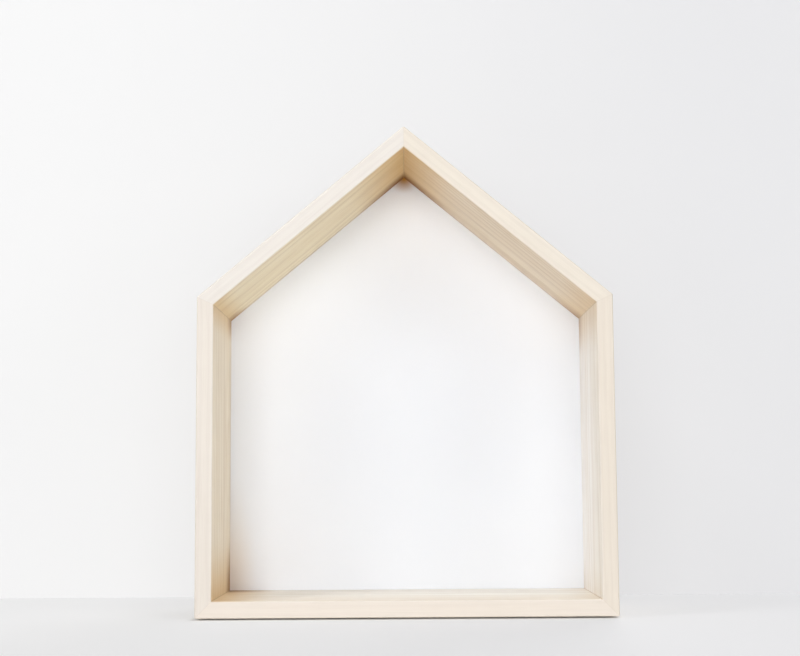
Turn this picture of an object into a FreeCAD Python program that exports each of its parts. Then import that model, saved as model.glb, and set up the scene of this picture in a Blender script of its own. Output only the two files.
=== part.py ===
import FreeCAD, Part
import math
import os
import Sketcher

Vector = FreeCAD.Vector

# Driving dimensions in millimetres, each with the alias of its cell
DIMENSIONS = (
    ("width", 300),  # outside, over both walls
    ("eaves_height", 229),  # underside to the outer corner of an eave, before sanding
    ("ridge_height", 354),  # underside to the outer corner of the ridge, before sanding
    ("depth", 115),  # front edges to back edges
    ("board_thickness", 12),  # all five boards
    ("corner_round", 1.5),  # sanded outer corners of the five mitres
    ("edge_round", 1),  # sanded front and back edges of the boards
    ("panel_thickness", 3),  # white back panel
    ("groove_depth", 4),  # groove round the boards that holds the panel
    ("panel_edge_gap", 0.3),  # panel edge to the bottom of the groove
    ("panel_face_gap", 0.1),  # panel face to the side of the groove
    ("rail_thickness", 12),  # hanging rail behind the panel
    ("rail_height", 55),
    ("rail_drop", 4),  # inner corner of the eave down to the rail
    ("brad_length", 25),  # brads that hold the mitres and the rail
    ("brad_diameter", 1.2),
    ("brad_head_diameter", 2),
    ("brad_head_height", 0.8),
    ("brad_point_length", 1.8),
    ("brad_set_depth", 1.2),  # outer face of the board down to the head
    ("brad_edge_distance", 18),  # front edge to the first brad of a mitre
    ("brad_gap", 0.05),  # all round a brad and the filler over it
    ("set_hole_diameter", 2.2),  # hole that the nail set leaves over a head
    ("rail_brad_pitch", 28),  # between the two brads at an end of the rail
    ("plate_end_distance", 38),  # end of the rail to the middle of a keyhole plate
    ("plate_width", 14),
    ("plate_thickness", 1.5),
    ("plate_gap", 0.2),  # plate edge to the edge of its recess
    ("keyhole_entry_diameter", 8.5),  # takes the head of a wall screw
    ("keyhole_slot_width", 4.5),  # takes the shank of a wall screw
    ("keyhole_travel", 7),  # entry centre up to the end of the slot
    ("head_pocket_width", 10),  # room in the rail for the wall screw's head
    ("head_pocket_depth", 6),
    ("screw_pitch", 26),  # between the two screws of a plate
    ("screw_length", 10),
    ("screw_diameter", 3),
    ("screw_head_diameter", 5.6),
    ("screw_point_length", 2.5),
    ("screw_gap", 0.05),  # all round a screw
    ("drive_length", 3),  # cross recess in a screw head
    ("drive_width", 0.8),
    ("drive_depth", 0.9),
    ("overrun", 2),  # how far a cut runs past the face it starts from
    ("mitre_brad_count", 3),
    ("pair_count", 2),
)

doc = FreeCAD.newDocument("house_shelf")
sheet = doc.addObject("Spreadsheet::Sheet", "Dims")
for row_number, (alias, size) in enumerate(DIMENSIONS, 1):
    sheet.set(f"A{row_number}", str(size))
    sheet.setAlias(f"A{row_number}", alias)
doc.recompute()

# Sizes of the house that follow from the driving dimensions
HALF_WIDTH = "(Dims.width / 2)"
HALF_DEPTH = "(Dims.depth / 2)"
HALF_BOARD = "(Dims.board_thickness / 2)"
ROOF_SLOPE_SHARE = f"((Dims.ridge_height - Dims.eaves_height) / {HALF_WIDTH})"
ROOF_STRETCH_SHARE = f"sqrt(1 + {ROOF_SLOPE_SHARE} ^ 2)"
ROOF_LENGTH = f"({HALF_WIDTH} * {ROOF_STRETCH_SHARE})"
ROOF_PITCH = f"atan({ROOF_SLOPE_SHARE})"

# How far a mitre runs along a board for each unit of the board's thickness
BASE_MITRE_SHARE = "1"
EAVE_MITRE_SHARE = f"({ROOF_STRETCH_SHARE} - {ROOF_SLOPE_SHARE})"
RIDGE_MITRE_SHARE = ROOF_SLOPE_SHARE

# Places of the panel, the rail and the brads
PANEL_CENTRE_Y = f"({HALF_DEPTH} - Dims.rail_thickness - Dims.panel_thickness / 2)"
RAIL_CENTRE_Y = f"({HALF_DEPTH} - Dims.rail_thickness / 2)"
RAIL_TOP_Z = f"(Dims.eaves_height - Dims.board_thickness * {EAVE_MITRE_SHARE} - Dims.rail_drop)"
RAIL_CENTRE_Z = f"({RAIL_TOP_Z} - Dims.rail_height / 2)"
FIRST_BRAD_Y = f"(Dims.brad_edge_distance - {HALF_DEPTH})"
SHELF_DEPTH = "(Dims.depth - Dims.rail_thickness - Dims.panel_thickness)"
MITRE_BRAD_SPAN = f"({SHELF_DEPTH} - 2 * Dims.brad_edge_distance)"

# Turns, axes and angles, and the sketcher's numbers for a sketch's origin and for the points of a curve
ZERO = "0"
QUARTER_TURN = "90 deg"
HALF_TURN = "180 deg"
FULL_TURN = 360
ALONG_DEPTH = Vector(0, 1, 0)
UPRIGHT = Vector(0, 0, 1)
RIGHTWARD_ANGLE = 0
LEFTWARD_ANGLE = math.pi
DOWNWARD_ANGLE = 3 * math.pi / 2
ROUND_AGAIN_ANGLE = 2 * math.pi
ORIGIN_INDEX = -1
ACROSS_AXIS_INDEX = -1
UP_AXIS_INDEX = -2
START_INDEX = 1
END_INDEX = 2
CENTRE_INDEX = 3

# A straight edge runs along a board if this share of its direction does
ALONG_BOARD_SHARE = 0.99


def value(expression):
    """The number that an expression gives with the sheet as it is now."""
    result = sheet.evalExpression(expression)
    return float(getattr(result, "Value", result))


def origin_feature(body, role):
    """One of a body's own origin planes or axes."""
    return next(feature for feature in body.Origin.OriginFeatures if feature.Role == role)


def new_body(label):
    """An empty body."""
    body = doc.addObject("PartDesign::Body", label)
    body.Label = label
    return body


def place(piece, x, y, z, axis=ALONG_DEPTH, angle=ZERO):
    """Ties a piece's Placement to the sheet."""
    piece.Placement = FreeCAD.Placement(Vector(), FreeCAD.Rotation(axis, value(angle)))
    for path, expression in (("Base.x", x), ("Base.y", y), ("Base.z", z), ("Rotation.Angle", angle)):
        if expression != ZERO:
            piece.setExpression(f"Placement.{path}", expression)


def new_sketch(body, name, role, lift=ZERO):
    """A sketch on one of the body's origin planes, or lifted off it along the plane's normal."""
    sketch = body.newObject("Sketcher::SketchObject", name)
    sketch.AttachmentSupport = (origin_feature(body, role), [""])
    sketch.MapMode = "FlatFace"
    if lift != ZERO:
        sketch.setExpression("AttachmentOffset.Base.z", lift)
    return sketch


def point_at(across, up):
    """A sketch point worked out from two expressions."""
    return Vector(value(across), value(up), 0)


def pin(sketch, geometry, end, across, up):
    """Ties one point of a sketch to its distances from the sketch's origin."""
    ties = (("DistanceX", UP_AXIS_INDEX, across), ("DistanceY", ACROSS_AXIS_INDEX, up))
    for kind, axis, distance in ties:
        if distance == ZERO:
            sketch.addConstraint(Sketcher.Constraint("PointOnObject", geometry, end, axis))
        else:
            tie = Sketcher.Constraint(kind, ORIGIN_INDEX, START_INDEX, geometry, end, value(distance))
            sketch.setExpression(f"Constraints[{sketch.addConstraint(tie)}]", distance)


def set_radius(sketch, geometry, radius):
    """Ties the radius of an arc or circle to the sheet."""
    index = sketch.addConstraint(Sketcher.Constraint("Radius", geometry, value(radius)))
    sketch.setExpression(f"Constraints[{index}]", radius)


def join(sketch, geometry, end, other, other_end):
    """Makes two ends meet."""
    sketch.addConstraint(Sketcher.Constraint("Coincident", geometry, end, other, other_end))


def line(sketch, start, end):
    """A line between two points given as pairs of expressions."""
    return sketch.addGeometry(Part.LineSegment(point_at(*start), point_at(*end)), False)


def arc(sketch, centre, radius, start_angle, end_angle):
    """An arc, anticlockwise."""
    circle = Part.Circle(point_at(*centre), UPRIGHT, value(radius))
    return sketch.addGeometry(Part.ArcOfCircle(circle, start_angle, end_angle), False)


def polygon(sketch, corners):
    """A closed outline with straight sides."""
    sides = [line(sketch, corner, corners[(n + 1) % len(corners)]) for n, corner in enumerate(corners)]
    for n, side in enumerate(sides):
        join(sketch, side, END_INDEX, sides[(n + 1) % len(sides)], START_INDEX)
        pin(sketch, side, START_INDEX, *corners[n])


def round_hole(sketch, across, up, radius):
    """A circle."""
    circle = sketch.addGeometry(Part.Circle(point_at(across, up), UPRIGHT, value(radius)), False)
    pin(sketch, circle, CENTRE_INDEX, across, up)
    set_radius(sketch, circle, radius)


def upright_slot(sketch, across, low, high, radius):
    """A slot with round ends whose centres lie one above the other."""
    left = f"({across} - {radius})"
    right = f"({across} + {radius})"
    top = arc(sketch, (across, high), radius, RIGHTWARD_ANGLE, LEFTWARD_ANGLE)
    left_side = line(sketch, (left, high), (left, low))
    bottom = arc(sketch, (across, low), radius, LEFTWARD_ANGLE, ROUND_AGAIN_ANGLE)
    right_side = line(sketch, (right, low), (right, high))
    loop = (top, left_side, bottom, right_side)
    for n, piece in enumerate(loop):
        following = loop[(n + 1) % len(loop)]
        sketch.addConstraint(Sketcher.Constraint("Tangent", piece, END_INDEX, following, START_INDEX))
    for end_arc, height in ((top, high), (bottom, low)):
        pin(sketch, end_arc, CENTRE_INDEX, across, height)
        set_radius(sketch, end_arc, radius)


def board_outline(sketch, length, start_share, end_share):
    """A board's end view: outer face on the sketch's X axis, both ends mitred, outer corners sanded."""
    thickness = "Dims.board_thickness"
    radius = "Dims.corner_round"
    start_lean = math.atan(1 / value(start_share))
    end_lean = math.atan(1 / value(end_share))
    start_nose = f"({radius} * (1 - 1 / sqrt(1 + {start_share} ^ 2)))"
    end_nose = f"({radius} * (1 - 1 / sqrt(1 + {end_share} ^ 2)))"
    outer_start = (f"({radius} * {start_share})", ZERO)
    outer_end = (f"({length} - {radius} * {end_share})", ZERO)
    mitre_end = (f"({length} - {end_nose} * {end_share})", end_nose)
    inner_end = (f"({length} - {thickness} * {end_share})", thickness)
    inner_start = (f"({thickness} * {start_share})", thickness)
    mitre_start = (f"({start_nose} * {start_share})", start_nose)
    end_centre = (outer_end[0], radius)
    start_centre = (outer_start[0], radius)
    outer_face = line(sketch, outer_start, outer_end)
    end_corner = arc(sketch, end_centre, radius, DOWNWARD_ANGLE, ROUND_AGAIN_ANGLE - end_lean)
    end_mitre = line(sketch, mitre_end, inner_end)
    inner_face = line(sketch, inner_end, inner_start)
    start_mitre = line(sketch, inner_start, mitre_start)
    start_corner = arc(sketch, start_centre, radius, LEFTWARD_ANGLE + start_lean, DOWNWARD_ANGLE)
    loop = (outer_face, end_corner, end_mitre, inner_face, start_mitre, start_corner)
    for n, piece in enumerate(loop):
        join(sketch, piece, END_INDEX, loop[(n + 1) % len(loop)], START_INDEX)
    pin(sketch, outer_face, START_INDEX, *outer_start)
    pin(sketch, outer_face, END_INDEX, *outer_end)
    pin(sketch, end_mitre, START_INDEX, *mitre_end)
    pin(sketch, inner_face, START_INDEX, *inner_end)
    pin(sketch, start_mitre, START_INDEX, *inner_start)
    pin(sketch, start_mitre, END_INDEX, *mitre_start)
    set_radius(sketch, end_corner, radius)
    set_radius(sketch, start_corner, radius)


def pad(body, sketch, length):
    """Material as far on one side of the sketch as on the other."""
    doc.recompute()
    feature = body.newObject("PartDesign::Pad", f"{body.Name}_pad")
    feature.Profile = sketch
    feature.SideType = "Symmetric"
    feature.setExpression("Length", length)
    doc.recompute()
    return feature


def cut(body, sketch, reach):
    """A pocket that reaches as far on one side of the sketch as on the other."""
    doc.recompute()
    feature = body.newObject("PartDesign::Pocket", f"{body.Name}_pocket")
    feature.Profile = sketch
    feature.SideType = "Symmetric"
    feature.setExpression("Length", f"2 * {reach}")
    doc.recompute()
    return feature


def runs_along_board(edge):
    """Whether an edge follows a board's outer or inner face at its front or back."""
    if edge.Curve.TypeId == "Part::GeomCircle":
        return True
    return abs(edge.tangentAt(edge.FirstParameter).x) > ALONG_BOARD_SHARE


def sand(body, feature, wanted):
    """Rounds the edges that are wanted."""
    edges = [f"Edge{n}" for n, edge in enumerate(feature.Shape.Edges, 1) if wanted(edge)]
    sanded = body.newObject("PartDesign::Fillet", f"{body.Name}_sanded")
    sanded.Base = (feature, edges)
    sanded.setExpression("Radius", "Dims.edge_round")
    doc.recompute()


def board(label, length, start_share, end_share):
    """A board before it is drilled: mitred, its long edges sanded round, grooved for the panel."""
    body = new_body(f"{label}_blank")
    outline = new_sketch(body, f"{label}_outline", "XZ_Plane")
    board_outline(outline, length, start_share, end_share)
    plank = pad(body, outline, "Dims.depth")
    sand(body, plank, runs_along_board)
    groove = new_sketch(body, f"{label}_groove", "XZ_Plane", f"-{PANEL_CENTRE_Y}")
    groove_floor = "(Dims.board_thickness - Dims.groove_depth)"
    groove_mouth = "(Dims.board_thickness + Dims.overrun)"
    groove_start = "(-Dims.overrun)"
    groove_end = f"({length} + Dims.overrun)"
    polygon(
        groove,
        (
            (groove_start, groove_floor),
            (groove_end, groove_floor),
            (groove_end, groove_mouth),
            (groove_start, groove_mouth),
        ),
    )
    cut(body, groove, "(Dims.panel_thickness / 2 + Dims.panel_face_gap)")
    return body


def turned_row(label, outline, count, span, direction):
    """A row of equal turned pieces: half of each one's outline, turned about the X axis."""
    body = new_body(label)
    sketch = new_sketch(body, f"{label}_outline", "XZ_Plane")
    polygon(sketch, outline)
    doc.recompute()
    turned = body.newObject("PartDesign::Revolution", f"{label}_turned")
    turned.Profile = sketch
    turned.ReferenceAxis = (sketch, ["H_Axis"])
    turned.Angle = FULL_TURN
    doc.recompute()
    row = body.newObject("PartDesign::LinearPattern", f"{label}_row")
    row.Originals = [turned]
    row.Direction = (origin_feature(body, direction), [""])
    row.setExpression("Length", span)
    row.setExpression("Occurrences", count)
    body.Tip = row
    doc.recompute()
    return body


def group(label, members):
    """Several solids in one node."""
    compound = doc.addObject("Part::Compound", label)
    compound.Label = label
    compound.Links = members
    return compound


def drill(label, blank, holes):
    """A finished piece: the blank less the holes for its brads and screws."""
    finished = doc.addObject("Part::Cut", label)
    finished.Label = label
    finished.Base = blank
    finished.Tool = group(f"{label}_holes", holes)
    return finished


# Boards, each starting at the corner where the one before it ends
floor_blank = board("floor_board", "Dims.width", BASE_MITRE_SHARE, BASE_MITRE_SHARE)
place(floor_blank, f"-{HALF_WIDTH}", ZERO, ZERO)

right_wall_blank = board("right_wall_board", "Dims.eaves_height", BASE_MITRE_SHARE, EAVE_MITRE_SHARE)
place(right_wall_blank, HALF_WIDTH, ZERO, ZERO, ALONG_DEPTH, f"-{QUARTER_TURN}")

right_roof_blank = board("right_roof_board", ROOF_LENGTH, EAVE_MITRE_SHARE, RIDGE_MITRE_SHARE)
right_roof_turn = f"{ROOF_PITCH} - {HALF_TURN}"
place(right_roof_blank, HALF_WIDTH, ZERO, "Dims.eaves_height", ALONG_DEPTH, right_roof_turn)

left_roof_blank = board("left_roof_board", ROOF_LENGTH, RIDGE_MITRE_SHARE, EAVE_MITRE_SHARE)
left_roof_turn = f"{HALF_TURN} - {ROOF_PITCH}"
place(left_roof_blank, ZERO, ZERO, "Dims.ridge_height", ALONG_DEPTH, left_roof_turn)

left_wall_blank = board("left_wall_board", "Dims.eaves_height", EAVE_MITRE_SHARE, BASE_MITRE_SHARE)
place(left_wall_blank, f"-{HALF_WIDTH}", ZERO, "Dims.eaves_height", ALONG_DEPTH, QUARTER_TURN)

# Back panel, held in the groove of all five boards
PANEL_INSET = "(Dims.board_thickness - Dims.groove_depth + Dims.panel_edge_gap)"
panel_side = f"({HALF_WIDTH} - {PANEL_INSET})"
panel_eave = f"(Dims.eaves_height - {PANEL_INSET} * {EAVE_MITRE_SHARE})"
panel_ridge = f"(Dims.ridge_height - {PANEL_INSET} * {ROOF_STRETCH_SHARE})"
back_panel = new_body("back_panel")
panel_outline = new_sketch(back_panel, "back_panel_outline", "XZ_Plane")
polygon(
    panel_outline,
    (
        (f"(-{panel_side})", PANEL_INSET),
        (panel_side, PANEL_INSET),
        (panel_side, panel_eave),
        (ZERO, panel_ridge),
        (f"(-{panel_side})", panel_eave),
    ),
)
pad(back_panel, panel_outline, "Dims.panel_thickness")
place(back_panel, ZERO, PANEL_CENTRE_Y, ZERO)

# Outlines of a brad, of the hole it leaves and of the filler over its head, from the axis outwards
brad_head_end = "(Dims.brad_set_depth + Dims.brad_head_height)"
brad_tip = "(Dims.brad_set_depth + Dims.brad_length)"
brad_shank_end = f"({brad_tip} - Dims.brad_point_length)"
brad_radius = "(Dims.brad_diameter / 2)"
brad_head_radius = "(Dims.brad_head_diameter / 2)"
set_hole_radius = "(Dims.set_hole_diameter / 2)"
filler_radius = f"({set_hole_radius} - Dims.brad_gap)"
brad_hole_radius = f"({brad_radius} + Dims.brad_gap)"
BRAD_OUTLINE = (
    ("Dims.brad_set_depth", ZERO),
    ("Dims.brad_set_depth", brad_head_radius),
    (brad_head_end, brad_head_radius),
    (brad_head_end, brad_radius),
    (brad_shank_end, brad_radius),
    (brad_tip, ZERO),
)
BRAD_HOLE_OUTLINE = (
    ("(-Dims.overrun)", ZERO),
    ("(-Dims.overrun)", set_hole_radius),
    (brad_head_end, set_hole_radius),
    (brad_head_end, brad_hole_radius),
    (brad_shank_end, brad_hole_radius),
    (f"({brad_tip} + Dims.brad_gap)", ZERO),
)
FILLER_OUTLINE = (
    ("(-Dims.overrun)", ZERO),
    ("(-Dims.overrun)", filler_radius),
    ("Dims.brad_set_depth", filler_radius),
    ("Dims.brad_set_depth", ZERO),
)


def nail(label, blank, where, count, span, direction):
    """A row of brads, the holes for them and the filler that ends flush with the board."""
    brads = turned_row(f"{label}_brads", BRAD_OUTLINE, count, span, direction)
    holes = turned_row(f"{label}_brad_holes", BRAD_HOLE_OUTLINE, count, span, direction)
    plugs = turned_row(f"{label}_plugs", FILLER_OUTLINE, count, span, direction)
    for row in (brads, holes, plugs):
        place(row, *where)
    filler = doc.addObject("Part::Common", f"{label}_filler")
    filler.Base = plugs
    filler.Tool = blank
    return brads, holes, filler


def nail_mitre(label, blank, x, z, angle):
    """The brads of one mitre, in a row along the depth of the shelf."""
    where = (x, FIRST_BRAD_Y, z, ALONG_DEPTH, angle)
    return nail(label, blank, where, "Dims.mitre_brad_count", MITRE_BRAD_SPAN, "Y_Axis")


def nail_rail(label, blank, x, z, angle):
    """The brads at one end of the rail, one above the other."""
    where = (x, RAIL_CENTRE_Y, z, ALONG_DEPTH, angle)
    return nail(label, blank, where, "Dims.pair_count", "Dims.rail_brad_pitch", "Z_Axis")


# Brads: each row runs down the middle of one board, through the board that meets it
eave_brad_x = f"({HALF_WIDTH} - {HALF_BOARD})"
eave_brad_z = f"(Dims.eaves_height + {HALF_BOARD} * {ROOF_SLOPE_SHARE})"
ridge_brad_drop = f"({HALF_BOARD} * {ROOF_STRETCH_SHARE} / 2)"
ridge_brad_x = f"({ridge_brad_drop} / {ROOF_SLOPE_SHARE})"
ridge_brad_z = f"(Dims.ridge_height - {ridge_brad_drop})"
rail_brad_low_z = f"({RAIL_CENTRE_Z} - Dims.rail_brad_pitch / 2)"
rail_brad_high_z = f"({RAIL_CENTRE_Z} + Dims.rail_brad_pitch / 2)"
left_base = nail_mitre("left_base", left_wall_blank, f"-{HALF_WIDTH}", HALF_BOARD, ZERO)
right_base = nail_mitre("right_base", right_wall_blank, HALF_WIDTH, HALF_BOARD, HALF_TURN)
left_eave = nail_mitre("left_eave", left_roof_blank, f"-{eave_brad_x}", eave_brad_z, QUARTER_TURN)
right_eave = nail_mitre("right_eave", right_roof_blank, eave_brad_x, eave_brad_z, QUARTER_TURN)
ridge = nail_mitre("ridge", right_roof_blank, ridge_brad_x, ridge_brad_z, left_roof_turn)
left_rail = nail_rail("left_rail", left_wall_blank, f"-{HALF_WIDTH}", rail_brad_low_z, ZERO)
right_rail = nail_rail("right_rail", right_wall_blank, HALF_WIDTH, rail_brad_high_z, HALF_TURN)
BRADS, HOLES, FILLER = range(len(ridge))

# Hanging rail, with recesses for the plates and room behind them for the heads of the wall screws
rail_half_length = f"({HALF_WIDTH} - Dims.board_thickness)"
plate_x = f"({rail_half_length} - Dims.plate_end_distance)"
plate_radius = "(Dims.plate_width / 2)"
half_screw_pitch = "(Dims.screw_pitch / 2)"
half_travel = "(Dims.keyhole_travel / 2)"
rail_blank = new_body("hanging_rail_blank")
rail_outline = new_sketch(rail_blank, "hanging_rail_outline", "XZ_Plane")
polygon(
    rail_outline,
    (
        (f"(-{rail_half_length})", "(-Dims.rail_height / 2)"),
        (rail_half_length, "(-Dims.rail_height / 2)"),
        (rail_half_length, "(Dims.rail_height / 2)"),
        (f"(-{rail_half_length})", "(Dims.rail_height / 2)"),
    ),
)
rail_bar = pad(rail_blank, rail_outline, "Dims.rail_thickness")
sand(rail_blank, rail_bar, lambda edge: runs_along_board(edge) and edge.CenterOfMass.y > 0)
rail_back = "(-Dims.rail_thickness / 2)"
recesses = new_sketch(rail_blank, "plate_recesses", "XZ_Plane", rail_back)
pockets = new_sketch(rail_blank, "head_pockets", "XZ_Plane", rail_back)
for side in (f"(-{plate_x})", plate_x):
    recess_radius = f"({plate_radius} + Dims.plate_gap)"
    upright_slot(recesses, side, f"(-{half_screw_pitch})", half_screw_pitch, recess_radius)
    upright_slot(pockets, side, f"(-{half_travel})", half_travel, "(Dims.head_pocket_width / 2)")
cut(rail_blank, recesses, "Dims.plate_thickness")
cut(rail_blank, pockets, "(Dims.plate_thickness + Dims.head_pocket_depth)")
place(rail_blank, ZERO, RAIL_CENTRE_Y, RAIL_CENTRE_Z)

# Outlines of a plate screw and of the hole it leaves
screw_radius = "(Dims.screw_diameter / 2)"
screw_head_radius = "(Dims.screw_head_diameter / 2)"
screw_head_height = f"({screw_head_radius} - {screw_radius})"
screw_shank_end = "(Dims.screw_length - Dims.screw_point_length)"
screw_hole_radius = f"({screw_radius} + Dims.screw_gap)"
screw_sink_radius = f"({screw_head_radius} + Dims.screw_gap)"
SCREW_OUTLINE = (
    (ZERO, ZERO),
    (ZERO, screw_head_radius),
    (screw_head_height, screw_radius),
    (screw_shank_end, screw_radius),
    ("Dims.screw_length", ZERO),
)
SCREW_HOLE_OUTLINE = (
    ("(-Dims.overrun)", ZERO),
    ("(-Dims.overrun)", screw_sink_radius),
    (ZERO, screw_sink_radius),
    (screw_head_height, screw_hole_radius),
    (screw_shank_end, screw_hole_radius),
    ("(Dims.screw_length + Dims.screw_gap)", ZERO),
)


def bar(sketch, half_width, low, high):
    """A bar centred on the sketch's Y axis."""
    left = f"(-{half_width})"
    polygon(sketch, ((left, low), (half_width, low), (half_width, high), (left, high)))


def plate_screws(label, x):
    """The two screws of a plate, with cross recesses, and the holes for them."""
    where = (x, HALF_DEPTH, f"({RAIL_CENTRE_Z} - {half_screw_pitch})", UPRIGHT, f"-{QUARTER_TURN}")
    pair = ("Dims.pair_count", "Dims.screw_pitch", "Z_Axis")
    screws = turned_row(f"{label}_plate_screws", SCREW_OUTLINE, *pair)
    holes = turned_row(f"{label}_screw_holes", SCREW_HOLE_OUTLINE, *pair)
    half_long = "(Dims.drive_length / 2)"
    half_wide = "(Dims.drive_width / 2)"
    for half_across, half_up in ((half_long, half_wide), (half_wide, half_long)):
        drive = new_sketch(screws, f"{label}_drive", "YZ_Plane")
        bar(drive, half_across, f"(-{half_up})", half_up)
        bar(drive, half_across, f"(Dims.screw_pitch - {half_up})", f"(Dims.screw_pitch + {half_up})")
        cut(screws, drive, "Dims.drive_depth")
    for row in (screws, holes):
        place(row, *where)
    return screws, holes


def keyhole_plate(label, x, holes):
    """A steel plate with round ends, its keyhole and two countersunk holes."""
    blank = new_body(f"{label}_blank")
    outline = new_sketch(blank, f"{label}_outline", "XZ_Plane")
    upright_slot(outline, ZERO, f"(-{half_screw_pitch})", half_screw_pitch, plate_radius)
    pad(blank, outline, "Dims.plate_thickness")
    entry = new_sketch(blank, f"{label}_entry", "XZ_Plane")
    round_hole(entry, ZERO, f"(-{half_travel})", "(Dims.keyhole_entry_diameter / 2)")
    cut(blank, entry, "Dims.plate_thickness")
    slot = new_sketch(blank, f"{label}_slot", "XZ_Plane")
    upright_slot(slot, ZERO, f"(-{half_travel})", half_travel, "(Dims.keyhole_slot_width / 2)")
    cut(blank, slot, "Dims.plate_thickness")
    place(blank, x, f"({HALF_DEPTH} - Dims.plate_thickness / 2)", RAIL_CENTRE_Z)
    return drill(label, blank, [holes])


left_screws, left_screw_holes = plate_screws("left", f"(-{plate_x})")
right_screws, right_screw_holes = plate_screws("right", plate_x)

# Finished pieces
mitre_rows = (ridge, left_eave, right_eave, left_base, right_base)
rail_rows = (left_rail, right_rail)
rail_holes = [row[HOLES] for row in rail_rows]
left_wall_holes = [row[HOLES] for row in (left_base, left_eave, left_rail)]
right_wall_holes = [row[HOLES] for row in (right_base, right_eave, right_rail)]
pieces = [
    drill("floor_board", floor_blank, [left_base[HOLES], right_base[HOLES]]),
    drill("left_wall_board", left_wall_blank, left_wall_holes),
    drill("right_wall_board", right_wall_blank, right_wall_holes),
    drill("left_roof_board", left_roof_blank, [left_eave[HOLES], ridge[HOLES]]),
    drill("right_roof_board", right_roof_blank, [right_eave[HOLES], ridge[HOLES]]),
    drill("hanging_rail", rail_blank, rail_holes + [left_screw_holes, right_screw_holes]),
    keyhole_plate("left_keyhole_plate", f"(-{plate_x})", left_screw_holes),
    keyhole_plate("right_keyhole_plate", plate_x, right_screw_holes),
    group("left_wall_filler", [left_base[FILLER], left_rail[FILLER]]),
    group("right_wall_filler", [right_base[FILLER], right_rail[FILLER]]),
    group("left_roof_filler", [left_eave[FILLER]]),
    group("right_roof_filler", [right_eave[FILLER], ridge[FILLER]]),
    back_panel,
    left_screws,
    right_screws,
]
pieces += [row[BRADS] for row in mitre_rows + rail_rows]
doc.recompute()

# Every object has to be sound before anything is written
for thing in doc.Objects:
    if "Invalid" in thing.State or "Error" in thing.State:
        raise RuntimeError(f"{thing.Label} is not sound: {thing.State}")
os.makedirs("parts", exist_ok=True)
for piece in pieces:
    if piece.Shape.isNull() or not piece.Shape.isValid() or not piece.Shape.Solids:
        raise RuntimeError(f"{piece.Label} has no sound shape")
for piece in pieces:
    piece.Shape.exportStep(f"parts/{piece.Label}.step")
    print(piece.Label, len(piece.Shape.Solids), round(piece.Shape.Volume, 3))
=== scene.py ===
"""House-shaped wall shelf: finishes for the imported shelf, a plain studio and the photograph's camera.

Lengths are in metres, apart from those whose names end in _mm or _px.
"""

import logging
import math
from dataclasses import dataclass, field
from enum import Enum

import bmesh
import bpy
from mathutils import Matrix, Vector

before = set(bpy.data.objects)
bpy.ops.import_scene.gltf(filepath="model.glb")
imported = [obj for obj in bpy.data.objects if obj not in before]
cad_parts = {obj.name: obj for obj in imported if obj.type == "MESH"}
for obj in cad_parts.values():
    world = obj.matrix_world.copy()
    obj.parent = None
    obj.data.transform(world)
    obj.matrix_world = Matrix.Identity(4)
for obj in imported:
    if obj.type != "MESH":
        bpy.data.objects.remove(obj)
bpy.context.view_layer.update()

MM = 0.001
INTO_DEPTH = Vector((0.0, 1.0, 0.0))
QUARTER_TURN = math.radians(90.0)
# The sRGB curve: a straight foot, and above it a lifted power
SRGB_FOOT, SRGB_SLOPE, SRGB_LIFT, SRGB_POWER = 0.04045, 12.92, 0.055, 2.4
FRAME_WIDTH_PX = 800
FRAME_HEIGHT_PX = 656
SENSOR_MM = 36.0
# One wave of the wave texture at a scale of 1, in metres
WAVE_LENGTH = 2.0 * math.pi / 20.0
# Places of the factor, the two colours and the result among the sockets of a colour mix
MIX_FACTOR, MIX_A, MIX_B, MIX_RESULT = 0, 6, 7, 2
# The same for a mix of two numbers
BLEND_FACTOR, BLEND_A, BLEND_B, BLEND_RESULT = 0, 2, 3, 0

Tree = bpy.types.NodeTree
Socket = bpy.types.NodeSocket
Colour = tuple[float, float, float, float]

log = logging.getLogger("house_shelf")


class Corner(Enum):
    """Outer corners of the house, as (x, z) in millimetres, in order round the outline."""

    BASE_LEFT = (-150.0, 0.0)
    BASE_RIGHT = (150.0, 0.0)
    EAVE_RIGHT = (150.0, 229.0)
    RIDGE = (0.0, 354.0)
    EAVE_LEFT = (-150.0, 229.0)

    def point(self) -> Vector:
        """The corner in metres, in the plane halfway through the depth."""
        x, z = self.value
        return Vector((x * MM, 0.0, z * MM))

    def directions(self) -> tuple[Vector, Vector]:
        """Directions of the two boards that meet here.

        Returns:
            Unit vectors to the corner before and to the corner after.
        """
        ring = list(Corner)
        place = ring.index(self)
        before, after = ring[place - 1], ring[(place + 1) % len(ring)]
        return (before.point() - self.point()).normalized(), (after.point() - self.point()).normalized()

    def mitre(self) -> tuple[Vector, float]:
        """The plane of the mitre at this corner.

        Returns:
            The plane's unit normal, and its distance from the origin along that normal in metres.
        """
        before, after = self.directions()
        normal = (before - after).normalized()
        return normal, normal.dot(self.point())

    def inside(self, board_mm: float) -> Vector:
        """The inner corner, across the mitre.

        Args:
            board_mm: Thickness of the boards.

        Returns:
            The corner, in the plane halfway through the depth.
        """
        before, after = self.directions()
        mitre_length = board_mm * MM / math.sin(before.angle(after) / 2.0)
        return self.point() + mitre_length * (before + after).normalized()


def linear(colour: str) -> Colour:
    """Turns an sRGB hex colour into linear light.

    Args:
        colour: Six hex digits after a hash sign.

    Returns:
        Red, green, blue and an alpha of 1.
    """
    red, green, blue = (
        share / SRGB_SLOPE if share <= SRGB_FOOT else ((share + SRGB_LIFT) / (1.0 + SRGB_LIFT)) ** SRGB_POWER
        for share in (int(colour[place:place + 2], 16) / 255.0 for place in (1, 3, 5))
    )
    return red, green, blue, 1.0


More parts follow.
